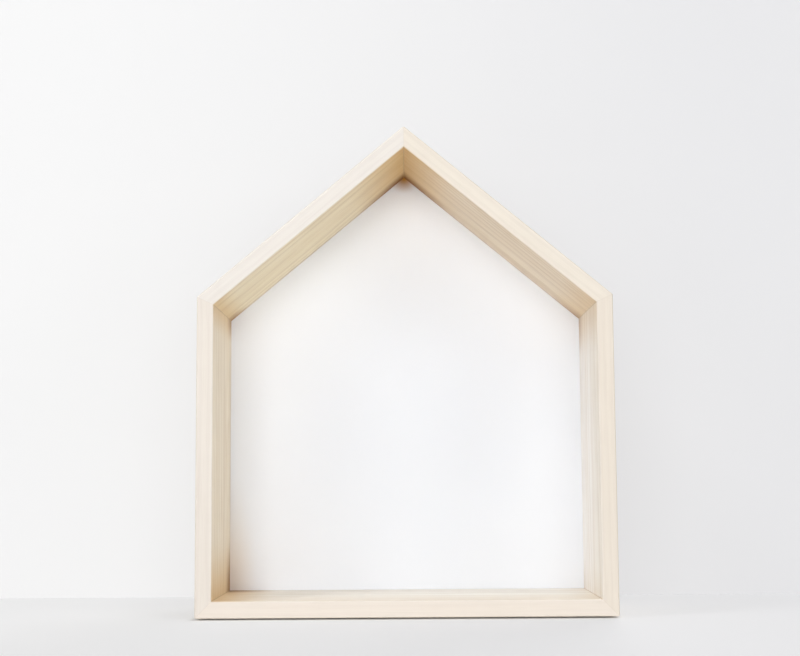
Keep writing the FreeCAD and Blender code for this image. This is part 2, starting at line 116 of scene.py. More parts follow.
def add_node(tree: Tree, kind: str, inputs: dict | None = None, **settings: object) -> bpy.types.Node:
    """Adds a node with its settings and links.

    Args:
        tree: Node tree that gets the node.
        kind: Blender's name for the node.
        inputs: For each input, by name or place, a value or the socket that feeds it.
        settings: Properties of the node.

    Returns:
        The new node.
    """
    node = tree.nodes.new(kind)
    for name, value in settings.items():
        setattr(node, name, value)
    for place, value in (inputs or {}).items():
        if isinstance(value, Socket):
            tree.links.new(value, node.inputs[place])
        else:
            node.inputs[place].default_value = value
    return node


def new_material(name: str) -> tuple[bpy.types.Material, Tree, Socket]:
    """Makes an empty node material.

    Args:
        name: Name of the material.

    Returns:
        The material, its node tree and the Object coordinates in it.
    """
    material = bpy.data.materials.new(name)
    material.use_nodes = True
    tree = material.node_tree
    tree.nodes.clear()
    return material, tree, add_node(tree, "ShaderNodeTexCoord").outputs["Object"]


def laid_over(
    tree: Tree,
    colour: Socket | Colour,
    mask: Socket,
    share: float,
    layer: Socket | Colour,
    blend: str = "MIX",
) -> Socket:
    """Lays a layer over the colour so far.

    Args:
        tree: Tree that gets the nodes.
        colour: Colour so far.
        mask: Where the layer lies, from 0 to 1.
        share: How much the layer covers where its mask is 1.
        layer: Colour of the layer.
        blend: How the layer covers: as paint, or as a tint that multiplies.

    Returns:
        The colour with the layer on it.
    """
    cover = add_node(tree, "ShaderNodeMath", {0: mask, 1: share}, operation="MULTIPLY")
    return add_node(tree, "ShaderNodeMix", {
        MIX_FACTOR: cover.outputs["Value"], MIX_A: colour, MIX_B: layer,
    }, data_type="RGBA", blend_type=blend).outputs[MIX_RESULT]


def nearness(tree: Tree, distance: Socket, reach_mm: float) -> Socket:
    """A mask that is 1 at a distance of zero and fades out at the reach.

    Args:
        tree: Tree that gets the nodes.
        distance: Distance in metres.
        reach_mm: Where the mask ends.

    Returns:
        The mask.
    """
    return add_node(tree, "ShaderNodeMapRange", {
        "Value": distance, "From Max": reach_mm * MM, "To Min": 1.0, "To Max": 0.0,
    }, interpolation_type="SMOOTHSTEP").outputs["Result"]


def plane_distance(tree: Tree, place: Socket, normal: Vector, reach: float) -> Socket:
    """Distance from a plane, in metres, on either side of it.

    Args:
        tree: Tree that gets the nodes.
        place: Object coordinates.
        normal: The plane's unit normal.
        reach: The plane's distance from the origin along its normal.

    Returns:
        The distance.
    """
    along = add_node(tree, "ShaderNodeVectorMath", {0: place, 1: normal}, operation="DOT_PRODUCT")
    past = add_node(tree, "ShaderNodeMath", {0: along.outputs["Value"], 1: reach}, operation="SUBTRACT")
    distance = add_node(tree, "ShaderNodeMath", {0: past.outputs["Value"]}, operation="ABSOLUTE")
    return distance.outputs["Value"]


def seen_as_background(tree: Tree) -> Socket:
    """Finds the rays by which the camera sees the stage, straight or in a shiny or clear surface.

    Args:
        tree: Tree that gets the nodes.

    Returns:
        A mask, 1 for those rays.
    """
    path = add_node(tree, "ShaderNodeLightPath").outputs
    seen = path["Is Camera Ray"]
    for other in ("Is Glossy Ray", "Is Transmission Ray"):
        either = add_node(tree, "ShaderNodeMath", {0: seen, 1: path[other]}, operation="MAXIMUM")
        seen = either.outputs["Value"]
    return seen


def dress(node: str, material: bpy.types.Material) -> None:
    """Gives a CAD node its finish.

    Args:
        node: Name of the CAD node.
        material: Finish for the whole node.
    """
    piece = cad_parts[node]
    if not piece.material_slots:
        piece.data.materials.append(material)
    for slot in piece.material_slots:
        slot.material = material
    log.info("%s: %s", node, material.name)


@dataclass(frozen=True)
class Noise:
    """A noise with features of real sizes along X, Y and Z.

    spread gives the noise values that become 0 and 1, where the noise is spread at all.
    """

    size_mm: tuple[float, float, float]
    octaves: float
    roughness: float = 0.5
    spread: tuple[float, float] | None = None

    def texture(self, tree: Tree, vector: Socket) -> bpy.types.Node:
        """Adds the noise texture, scaled to its sizes.

        Args:
            tree: Tree that gets the nodes.
            vector: Coordinates in metres.

        Returns:
            The texture.
        """
        scaled = add_node(tree, "ShaderNodeMapping", {
            "Vector": vector, "Scale": tuple(1.0 / (size * MM) for size in self.size_mm),
        })
        return add_node(tree, "ShaderNodeTexNoise", {
            "Vector": scaled.outputs["Vector"],
            "Scale": 1.0,
            "Detail": self.octaves,
            "Roughness": self.roughness,
        })

    def build(self, tree: Tree, vector: Socket) -> Socket:
        """Adds the noise as a mask.

        Args:
            tree: Tree that gets the nodes.
            vector: Coordinates in metres.

        Returns:
            A value from 0 to 1.
        """
        value = self.texture(tree, vector).outputs["Fac"]
        if self.spread is None:
            return value
        low, high = self.spread
        return add_node(tree, "ShaderNodeMapRange", {
            "Value": value, "From Min": low, "From Max": high,
        }, interpolation_type="SMOOTHSTEP").outputs["Result"]


@dataclass(frozen=True)
class Surface:
    """How a finish takes the light: roughness between two limits, a fine relief and its shine."""

    roughness: tuple[float, float]
    relief_mm: float
    relief_strength: float
    specular: float = 0.5
    metallic: float = 0.0

    def build(self, tree: Tree, colour: Socket, dullness: Socket, height: Socket) -> None:
        """Ends a material with its shader.

        Args:
            tree: Tree of the material.
            colour: Colour of the finish.
            dullness: 0 where the finish is smoothest, 1 where it is roughest.
            height: The relief, as a share of its full height.
        """
        smooth, rough = self.roughness
        roughness = add_node(tree, "ShaderNodeMapRange", {
            "Value": dullness, "To Min": smooth, "To Max": rough,
        })
        relief = add_node(tree, "ShaderNodeBump", {
            "Height": height, "Strength": self.relief_strength, "Distance": self.relief_mm * MM,
        })
        shader = add_node(tree, "ShaderNodeBsdfPrincipled", {
            "Base Color": colour,
            "Metallic": self.metallic,
            "Roughness": roughness.outputs["Result"],
            "Specular IOR Level": self.specular,
            "Normal": relief.outputs["Normal"],
        })
        add_node(tree, "ShaderNodeOutputMaterial", {"Surface": shader.outputs["BSDF"]})


@dataclass(frozen=True)
class ShelfSize:
    """Sizes that the boards and the panel share, with depth coordinates from the front to the back."""

    board_mm: float = 12.0
    front_mm: float = -57.5
    edge_round_mm: float = 1.0
    panel_face_mm: float = 42.5


@dataclass(frozen=True)
class Grain:
    """How the grain lies in one piece of wood.

    turn_deg turns the piece about the depth axis until its length lies along X, skew_deg is the slope of
    the grain across the face, pith_mm is where the heart of the tree was, in the turned piece's own frame,
    and figure is how strongly the grain shows.
    """

    turn_deg: float
    skew_deg: float
    pith_mm: tuple[float, float, float]
    figure: float = 1.0


@dataclass(frozen=True)
class BoardTones:
    """Colours of a board where the photograph shows it.

    deep is the inner face by the panel and fore the inner face at the front, each partly the wood's tone and
    partly painted light and shade; edge is the sanded front edge, toned down as painted shade; and the last
    is how strongly painted shade shows along the panel.
    """

    deep: str
    fore: str
    edge: str
    panel_line_shade: float


@dataclass(frozen=True)
class PaintedCornerShade:
    """Painted shade on two boards by one corner: how far it reaches and how strongly it shows."""

    corner: Corner
    reach_mm: float
    strength: float


@dataclass(frozen=True)
class PaintedPanelShade:
    """Painted shade on the panel in a corner: its reach across and upright, its share and its colour."""

    corner: Corner
    across_mm: float
    upright_mm: float
    share: float
    tone: str


@dataclass(frozen=True)
class Board:
    """One of the five boards: its CAD node, the corners it runs between, its grain and its tones."""

    node: str
    start: Corner
    end: Corner
    grain: Grain
    tones: BoardTones

    def inner_face(self, board_mm: float) -> tuple[Vector, float]:
        """The plane of the board's inner face.

        Args:
            board_mm: Thickness of the board.

        Returns:
            The plane's unit normal, into the house, and its distance from the origin along it in metres.
        """
        along = (self.end.point() - self.start.point()).normalized()
        inward = Vector((-along.z, 0.0, along.x))
        return inward, inward.dot(self.start.point()) + board_mm * MM


@dataclass(frozen=True)
class PaleSoftwood:
    """Pale softwood, planed, sanded and varnished matte.

    The eye gets cream wood with faint straight growth lines, short darker fibres and slow changes of tone
    along a board, an even and pale front edge, and a hairline where two mitres meet. Over this lies painted
    light and shade: tones of their own on the inner faces, set board by board; a front edge toned down as
    painted shade against the full light it gets; honey and amber painted shade in the inner corners; and
    amber painted shade along the panel.
    """

    name: str
    tone: str
    # Tints of the wood's own tone: the late wood, the fibres and the warmer stretches
    late: str = "#E6E0DA"
    fibre: str = "#DFD5C8"
    warm: str = "#EDE5DA"
    late_share: float = 0.55
    fibre_share: float = 0.38
    warm_share: float = 0.45
    ring_mm: float = 4.5
    # Where within a ring the late wood sets in, and where it gives way to the next ring
    ring_starts: float = 0.3
    ring_ends: float = 0.82
    drift: Noise = Noise((220.0, 45.0, 45.0), octaves=3.0)
    drift_reach_mm: float = 7.0
    # Real fibres are about 0.1 mm wide; these are as coarse as they need to be to show
    fibres: Noise = Noise((28.0, 0.9, 0.9), octaves=3.0, roughness=0.55, spread=(0.42, 0.72))
    clouds: Noise = Noise((160.0, 30.0, 14.0), octaves=2.0, roughness=0.55, spread=(0.3, 0.75))
    # The inner face's tones, partly painted light and shade, end this far inside the board
    skin_mm: float = 2.0
    # Depth coordinate where the tone of the front of the inner face has given way to the deeper tone
    fore_to_mm: float = -5.0
    # Painted shade in the inner corners: honey by the mitres and amber where they meet the panel; the amber
    # also paints the shade along the panel
    honey: str = "#D9B068"
    honey_share: float = 0.7
    amber: str = "#8C581F"
    deep_mm: float = 28.0
    deep_share: float = 0.95
    # Painted shade along the panel, where the inner faces meet it
    panel_line_shade_mm: float = 7.0
    panel_line_shade_share: float = 0.2
    seam: str = "#C4AE8A"
    seam_half_mm: float = 0.3
    seam_share: float = 0.5
    # How much the sanded front edge, partly painted shade, covers the wood
    sanded_and_shaded_share: float = 0.75
    surface: Surface = Surface(roughness=(0.52, 0.66), relief_mm=0.05, relief_strength=0.5, specular=0.4)

    def board_material(
        self, board: Board, size: ShelfSize, painted_corner_shades: tuple[PaintedCornerShade, ...]
    ) -> bpy.types.Material:
        """Makes the finish of one mitred board.

        Args:
            board: The board.
            size: Sizes of the shelf.
            painted_corner_shades: Painted shade in the inner corners at the board's two ends.

        Returns:
            The board's material.
        """
        material, tree, place = new_material(f"{self.name}_{board.node}")
        skin = self._inner_skin(tree, place, board, size)
        # The inner face's tones: partly the wood's tone, partly painted light and shade
        inner = self._inner_tone_and_light(tree, place, board.tones, size)
        colour = laid_over(tree, linear(self.tone), skin, 1.0, inner)
        colour, fibre, height = self._figured(tree, place, colour, board.grain)
        off_panel = plane_distance(tree, place, INTO_DEPTH, size.panel_face_mm * MM)
        # Painted shade along the panel
        colour = self._with_panel_line_shade(tree, colour, skin, off_panel, board.tones.panel_line_shade)
        # Painted shade in the inner corners by the board's mitres
        for painted_corner_shade in painted_corner_shades:
            colour = self._with_corner_shade(tree, place, colour, skin, off_panel, painted_corner_shade)
        for corner in (board.start, board.end):
            colour = self._seam_line(tree, place, colour, corner)
        colour = self._sanded_and_shaded_edge(tree, place, colour, board.tones.edge, size)
        self.surface.build(tree, colour, fibre, height)
        return material

    def plain_material(self, label: str, grain: Grain) -> bpy.types.Material:
        """Makes the finish of a plain piece.

        Args:
            label: Name of the piece.
            grain: How the grain lies in it.

        Returns:
            The piece's material.
        """
        material, tree, place = new_material(f"{self.name}_{label}")
        colour, fibre, height = self._figured(tree, place, linear(self.tone), grain)
        self.surface.build(tree, colour, fibre, height)
        return material

    def _inner_skin(self, tree: Tree, place: Socket, board: Board, size: ShelfSize) -> Socket:
        """Finds the inner face in front of the panel, where the house was varnished from the inside.

        Args:
            tree: Tree that gets the nodes.
            place: Object coordinates.
            board: The board.
            size: Sizes of the shelf.

        Returns:
            A mask, 1 on the inner face and 0 behind the panel and on the outer faces.
        """
        depth = add_node(tree, "ShaderNodeSeparateXYZ", {0: place}).outputs["Y"]
        before_panel = add_node(tree, "ShaderNodeMath", {
            0: depth, 1: size.panel_face_mm * MM,
        }, operation="LESS_THAN")
        off_face = plane_distance(tree, place, *board.inner_face(size.board_mm))
        skin = add_node(tree, "ShaderNodeMath", {
            0: nearness(tree, off_face, self.skin_mm), 1: before_panel.outputs["Value"],
        }, operation="MULTIPLY")
        return skin.outputs["Value"]

    def _inner_tone_and_light(self, tree: Tree, place: Socket, tones: BoardTones, size: ShelfSize) -> Socket:
        """The inner face's tone, which changes from the front to halfway in: partly the wood's tone, partly
        painted light and shade set board by board.

        Args:
            tree: Tree that gets the nodes.
            place: Object coordinates.
            tones: Colours of the board.
            size: Sizes of the shelf.

        Returns:
            The colour.
        """
        depth = add_node(tree, "ShaderNodeSeparateXYZ", {0: place}).outputs["Y"]
        inwards = add_node(tree, "ShaderNodeMapRange", {
            "Value": depth, "From Min": size.front_mm * MM, "From Max": self.fore_to_mm * MM,
        })
        return laid_over(tree, linear(tones.fore), inwards.outputs["Result"], 1.0, linear(tones.deep))

    def _figured(
        self, tree: Tree, place: Socket, colour: Socket | Colour, grain: Grain
    ) -> tuple[Socket, Socket, Socket]:
        """Lays the growth lines and the fibres over the slow changes of tone.

        Args:
            tree: Tree that gets the nodes.
            place: Object coordinates.
            colour: The wood's own tone.
            grain: How the grain lies.

        Returns:
            The colour of the figured wood, the mask of its fibres and the height of its relief.
        """
        turned = add_node(tree, "ShaderNodeMapping", {
            "Vector": place,
            "Location": tuple(-reach * MM for reach in grain.pith_mm),
            "Rotation": (0.0, math.radians(grain.turn_deg), math.radians(grain.skew_deg)),
        }).outputs["Vector"]
        late = self._growth_lines(tree, turned)
        fibre = self.fibres.build(tree, turned)
        cloud = self.clouds.build(tree, turned)
        layers = (
            (cloud, self.warm_share, self.warm),
            (late, self.late_share, self.late),
            (fibre, self.fibre_share, self.fibre),
        )
        for mask, share, tint in layers:
            colour = laid_over(tree, colour, mask, share * grain.figure, linear(tint), blend="MULTIPLY")
        # Late wood stands a little proud, and the fibres lie a little lower
        height = add_node(tree, "ShaderNodeMath", {0: late, 1: fibre}, operation="SUBTRACT")
        return colour, fibre, height.outputs["Value"]

    def _growth_lines(self, tree: Tree, turned: Socket) -> Socket:
        """Growth rings about the pith, which cut the faces as long lines.

        Args:
            tree: Tree that gets the nodes.
            turned: Coordinates with the board along X and the pith at zero.

        Returns:
            A mask, 1 in the dark late wood.
        """
        reach = self.drift_reach_mm * MM
        wandering = add_node(tree, "ShaderNodeVectorMath", {
            0: self.drift.texture(tree, turned).outputs["Color"], 1: (0.0, reach, reach), 2: turned,
        }, operation="MULTIPLY_ADD")
        rings = add_node(tree, "ShaderNodeTexWave", {
            "Vector": wandering.outputs["Vector"], "Scale": WAVE_LENGTH / (self.ring_mm * MM),
        }, wave_type="RINGS", rings_direction="X", wave_profile="SAW").outputs["Fac"]
        darker = add_node(tree, "ShaderNodeMapRange", {
            "Value": rings, "From Min": self.ring_starts, "From Max": self.ring_ends,
        }, interpolation_type="SMOOTHSTEP")
        paler = add_node(tree, "ShaderNodeMapRange", {
            "Value": rings, "From Min": self.ring_ends, "To Min": 1.0, "To Max": 0.0,
        }, interpolation_type="SMOOTHSTEP")
        late = add_node(tree, "ShaderNodeMath", {
            0: darker.outputs["Result"], 1: paler.outputs["Result"],
        }, operation="MULTIPLY")
        return late.outputs["Value"]

    def _with_panel_line_shade(
        self, tree: Tree, colour: Socket, skin: Socket, off_panel: Socket, strength: float
    ) -> Socket:
        """Paints shade on the inner face, amber along the panel.

        Args:
            tree: Tree that gets the nodes.
            colour: Colour so far.
            skin: Mask of the inner face.
            off_panel: Distance from the panel's face.
            strength: How strongly the painted shade shows.

        Returns:
            The colour with the painted shade along the panel.
        """
        by_panel = nearness(tree, off_panel, self.panel_line_shade_mm)
        on_face = add_node(tree, "ShaderNodeMath", {0: by_panel, 1: skin}, operation="MULTIPLY")
        share = self.panel_line_shade_share * strength
        return laid_over(tree, colour, on_face.outputs["Value"], share, linear(self.amber))

    def _with_corner_shade(
        self,
        tree: Tree,
        place: Socket,
        colour: Socket,
        skin: Socket,
        off_panel: Socket,
        painted_corner_shade: PaintedCornerShade,
    ) -> Socket:
        """Paints shade on the inner face: honey by a mitre, and amber where the mitre meets the panel.

        Args:
            tree: Tree that gets the nodes.
            place: Object coordinates.
            colour: Colour so far.
            skin: Mask of the inner face.
            off_panel: Distance from the panel's face.
            painted_corner_shade: The painted shade in the corner.

        Returns:
            The colour with the painted shade.
        """
        by_mitre = nearness(tree, plane_distance(tree, place, *painted_corner_shade.corner.mitre()), painted_corner_shade.reach_mm)
        on_face = add_node(tree, "ShaderNodeMath", {0: by_mitre, 1: skin}, operation="MULTIPLY")
        in_depth = add_node(tree, "ShaderNodeMath", {
            0: on_face.outputs["Value"], 1: nearness(tree, off_panel, self.deep_mm),
        }, operation="MULTIPLY")
        honey_share = self.honey_share * painted_corner_shade.strength
        amber_share = self.deep_share * painted_corner_shade.strength
        colour = laid_over(tree, colour, on_face.outputs["Value"], honey_share, linear(self.honey))
        return laid_over(tree, colour, in_depth.outputs["Value"], amber_share, linear(self.amber))

    def _seam_line(self, tree: Tree, place: Socket, colour: Socket, corner: Corner) -> Socket:
        """Draws the glue line at a mitre.

        Args:
            tree: Tree that gets the nodes.
            place: Object coordinates.
            colour: Colour so far.
            corner: Corner where the board is mitred.

        Returns:
            The colour with its glue line.
        """
        seam = add_node(tree, "ShaderNodeMath", {
            0: plane_distance(tree, place, *corner.mitre()), 1: self.seam_half_mm * MM,
        }, operation="LESS_THAN")
        return laid_over(tree, colour, seam.outputs["Value"], self.seam_share, linear(self.seam))

    def _sanded_and_shaded_edge(
        self, tree: Tree, place: Socket, colour: Socket, edge: str, size: ShelfSize
    ) -> Socket:
        """Makes the front edge even and pale, sanded and toned down as painted shade against the full light
        on the front, up to where its rounding ends.

        Args:
            tree: Tree that gets the nodes.
            place: Object coordinates.
            colour: Colour so far.
            edge: Colour of the sanded edge, partly painted shade.
            size: Sizes of the shelf.

        Returns:
            The colour with the sanded and shaded edge.
        """
        # The sanded front edge, toned down as painted shade
        off_front = plane_distance(tree, place, INTO_DEPTH, size.front_mm * MM)
        sanded = nearness(tree, off_front, size.edge_round_mm)
        return laid_over(tree, colour, sanded, self.sanded_and_shaded_share, linear(edge))


@dataclass(frozen=True)
class PaintedHardboard:
    """Thin hardboard, rolled white on its face and left bare behind.

    The eye gets a matte white with the faint stipple of a roller and slow changes of tone, painted shade in
    corners, and behind it brown felted fibre with the print of the wire mesh that it was pressed on.
    """

    name: str = "painted_hardboard"
    white: str = "#EFF2F7"
    shade: str = "#ECEFF5"
    fibre: str = "#8A6544"
    fibre_dark: str = "#6B4A2F"
    clouds: Noise = Noise((70.0, 70.0, 70.0), octaves=2.0)
    stipple: Noise = Noise((1.6, 1.6, 1.6), octaves=2.0)
    felt: Noise = Noise((1.4, 1.4, 1.4), octaves=4.0, roughness=0.7)
    mesh_mm: float = 1.8
    surface: Surface = Surface(roughness=(0.55, 0.7), relief_mm=0.06, relief_strength=0.35, specular=0.35)

    def material(
        self, size: ShelfSize, painted_panel_shades: tuple[PaintedPanelShade, ...], paint_to_mm: float
    ) -> bpy.types.Material:
        """Makes the panel's finish.

        Args:
            size: Sizes of the shelf.
            painted_panel_shades: Painted shade in the panel's corners.
            paint_to_mm: Depth coordinate to which the paint on the face reaches.

        Returns:
            The panel's material.
        """
        material, tree, place = new_material(self.name)
        depth = add_node(tree, "ShaderNodeSeparateXYZ", {0: place}).outputs["Y"]
        bare = add_node(tree, "ShaderNodeMath", {
            0: depth, 1: paint_to_mm * MM,
        }, operation="GREATER_THAN").outputs["Value"]
        cloud = self.clouds.build(tree, place)
        paint = laid_over(tree, linear(self.white), cloud, 1.0, linear(self.shade))
        # Painted shade in the panel's corners
        for painted_panel_shade in painted_panel_shades:
            paint = self._with_panel_shade(tree, place, paint, painted_panel_shade, size)
        felt = self.felt.build(tree, place)
        felted = laid_over(tree, linear(self.fibre), felt, 1.0, linear(self.fibre_dark))
        colour = laid_over(tree, paint, bare, 1.0, felted)
        stipple = self.stipple.build(tree, place)
        height = add_node(tree, "ShaderNodeMix", {
            BLEND_FACTOR: bare, BLEND_A: stipple, BLEND_B: self._mesh_print(tree, place),
        }, data_type="FLOAT")
        self.surface.build(tree, colour, stipple, height.outputs[BLEND_RESULT])
        return material

    def _with_panel_shade(
        self, tree: Tree, place: Socket, paint: Socket, painted_panel_shade: PaintedPanelShade, size: ShelfSize
    ) -> Socket:
        """Paints shade on the panel in a corner.

        Args:
            tree: Tree that gets the nodes.
            place: Object coordinates.
            paint: Colour so far.
            painted_panel_shade: The painted shade.
            size: Sizes of the shelf.

        Returns:
            The colour with the painted shade.
        """
        corner = painted_panel_shade.corner.inside(size.board_mm)
        # Upright lengths are shortened until the painted shade's outline is round
        squash = Vector((1.0, 0.0, painted_panel_shade.across_mm / painted_panel_shade.upright_mm))
        squashed = add_node(tree, "ShaderNodeVectorMath", {0: place, 1: squash}, operation="MULTIPLY")
        off_corner = add_node(tree, "ShaderNodeVectorMath", {
            0: squashed.outputs["Vector"], 1: corner * squash,
        }, operation="DISTANCE")
        by_corner = nearness(tree, off_corner.outputs["Value"], painted_panel_shade.across_mm)
        return laid_over(tree, paint, by_corner, painted_panel_shade.share, linear(painted_panel_shade.tone))

    def _mesh_print(self, tree: Tree, place: Socket) -> Socket:
        """The print of the wire mesh on the back.

        Args:
            tree: Tree that gets the nodes.
            place: Object coordinates.

        Returns:
            A height, 1 on the wires.
        """
        across, upright = (
            add_node(tree, "ShaderNodeTexWave", {
                "Vector": place, "Scale": WAVE_LENGTH / (self.mesh_mm * MM),
            }, wave_type="BANDS", bands_direction=direction).outputs["Fac"]
            for direction in ("X", "Z")
        )
        mesh = add_node(tree, "ShaderNodeMath", {0: across, 1: upright}, operation="MAXIMUM")
        return mesh.outputs["Value"]


@dataclass(frozen=True)
class ZincPlating:
    """Mild steel, punched or turned, then zinc plated.

    The eye gets a soft grey metal with faint clouds from the bath and fine rubbing marks.
    """

    name: str = "zinc_plated_steel"
    bright: str = "#C9CBCD"
    dull: str = "#A9ABAA"
    clouds: Noise = Noise((5.0, 5.0, 5.0), octaves=3.0)
    rubbing: Noise = Noise((0.25, 3.0, 4.0), octaves=2.0)
    surface: Surface = Surface(roughness=(0.28, 0.5), relief_mm=0.02, relief_strength=0.2, metallic=1.0)

    def material(self) -> bpy.types.Material:
        """Makes the finish of the hardware.

        Returns:
            The material.
        """
        material, tree, place = new_material(self.name)
        cloud = self.clouds.build(tree, place)
        colour = laid_over(tree, linear(self.bright), cloud, 1.0, linear(self.dull))
        rubbed = self.rubbing.build(tree, place)
        self.surface.build(tree, colour, rubbed, rubbed)
        return material


@dataclass(frozen=True)
class WoodFiller:
    """Dried wood filler, sanded flush.

    The eye gets small tan dots, a little darker and duller than the wood, with fine specks of wood flour.
    """

    name: str = "wood_filler"
    tan: str = "#D9C39C"
    speck: str = "#BFA276"
    specks: Noise = Noise((0.4, 0.4, 0.4), octaves=3.0, roughness=0.7)
    surface: Surface = Surface(roughness=(0.7, 0.85), relief_mm=0.03, relief_strength=0.3, specular=0.3)

    def material(self) -> bpy.types.Material:
        """Makes the finish of the filler.

        Returns:
            The material.
        """
        material, tree, place = new_material(self.name)
        specks = self.specks.build(tree, place)
        colour = laid_over(tree, linear(self.tan), specks, 1.0, linear(self.speck))
        self.surface.build(tree, colour, specks, specks)
        return material


@dataclass(frozen=True)
class StagePaint:
    """Paint on the floor and the backdrop: a pale grey white that gets slowly darker to the right, painted
    light falloff as from light on the left.

    The camera sees part of it as a plain tone, which keeps the stage bright and its shadows soft but stops
    short of the shelf's foot, and far from the shelf it sees nothing but that tone. The shelf gets the
    thrown tone back from it.
    """

    name: str
    left: str
    right: str
    thrown: str
    plain_share: float
    roughness: float
    one_sided: bool = False
    half_span: float = 0.35
    clouds: Noise = Noise((260.0, 260.0, 260.0), octaves=2.0)
    cloud_share: float = 0.15
    foot_mm: tuple[float, float] = (150.0, 57.5)
    contact_mm: float = 6.0
    # Distances from the shelf, in metres, between which the stage gives way to its plain tone
    plain_from: float = 0.6
    plain_to: float = 1.2

    def material(self) -> bpy.types.Material:
        """Makes the paint, which can be seen through from behind where it is one-sided.

        Returns:
            The material.
        """
        material, tree, place = new_material(self.name)
        tone = self._tone(tree, place)
        diffuse = add_node(tree, "ShaderNodeLightPath").outputs["Is Diffuse Ray"]
        painted = add_node(tree, "ShaderNodeBsdfPrincipled", {
            "Base Color": laid_over(tree, tone, diffuse, 1.0, linear(self.thrown)),
            "Roughness": self.roughness,
        })
        plain = add_node(tree, "ShaderNodeEmission", {"Color": tone, "Strength": 1.0})
        seen = add_node(tree, "ShaderNodeMath", {
            0: seen_as_background(tree), 1: self._plainness(tree, place),
        }, operation="MULTIPLY")
        shader = add_node(tree, "ShaderNodeMixShader", {
            0: seen.outputs["Value"], 1: painted.outputs["BSDF"], 2: plain.outputs["Emission"],
        })
        if self.one_sided:
            shader = add_node(tree, "ShaderNodeMixShader", {
                0: add_node(tree, "ShaderNodeNewGeometry").outputs["Backfacing"],
                1: shader.outputs["Shader"],
                2: add_node(tree, "ShaderNodeBsdfTransparent").outputs["BSDF"],
            })
        add_node(tree, "ShaderNodeOutputMaterial", {"Surface": shader.outputs["Shader"]})
        return material

    def _tone(self, tree: Tree, place: Socket) -> Socket:
        """The paint's colour, darker from left to right as painted light falloff, with slow clouds in it.

        Args:
            tree: Tree that gets the nodes.
            place: Object coordinates.

        Returns:
            The colour.
        """
        across = add_node(tree, "ShaderNodeSeparateXYZ", {0: place}).outputs["X"]
        # Painted light falloff: lighter on the left, darker to the right
        ramp = add_node(tree, "ShaderNodeMapRange", {
            "Value": across, "From Min": -self.half_span, "From Max": self.half_span,
        }, interpolation_type="SMOOTHSTEP")
        falloff_and_clouds = add_node(tree, "ShaderNodeMix", {
            BLEND_FACTOR: self.cloud_share,
            BLEND_A: ramp.outputs["Result"],
            BLEND_B: self.clouds.build(tree, place),
        }, data_type="FLOAT")
        shift = falloff_and_clouds.outputs[BLEND_RESULT]
        return laid_over(tree, linear(self.left), shift, 1.0, linear(self.right))

    def _plainness(self, tree: Tree, place: Socket) -> Socket:
        """How much the camera sees of the plain tone: none at the shelf's foot, and all of it far away.

        Args:
            tree: Tree that gets the nodes.
            place: Object coordinates.

        Returns:
            The share of the plain tone.
        """
        half_x, half_y = self.foot_mm
        mirrored = add_node(tree, "ShaderNodeVectorMath", {0: place}, operation="ABSOLUTE")
        past = add_node(tree, "ShaderNodeVectorMath", {
            0: mirrored.outputs["Vector"], 1: (half_x * MM, half_y * MM, 0.0),
        }, operation="SUBTRACT")
        axes = add_node(tree, "ShaderNodeSeparateXYZ", {0: past.outputs["Vector"]}).outputs
        off_foot = axes["X"]
        for axis in ("Y", "Z"):
            further = add_node(tree, "ShaderNodeMath", {0: off_foot, 1: axes[axis]}, operation="MAXIMUM")
            off_foot = further.outputs["Value"]
        clear = add_node(tree, "ShaderNodeMapRange", {
            "Value": off_foot, "From Max": self.contact_mm * MM,
        }, interpolation_type="SMOOTHSTEP")
        away = add_node(tree, "ShaderNodeVectorMath", {0: place}, operation="LENGTH")
        share = add_node(tree, "ShaderNodeMapRange", {
            "Value": away.outputs["Value"],
            "From Min": self.plain_from,
            "From Max": self.plain_to,
            "To Min": self.plain_share,
        }, interpolation_type="SMOOTHSTEP")
        plainness = add_node(tree, "ShaderNodeMath", {
            0: clear.outputs["Result"], 1: share.outputs["Result"],
        }, operation="MULTIPLY")
        return plainness.outputs["Value"]


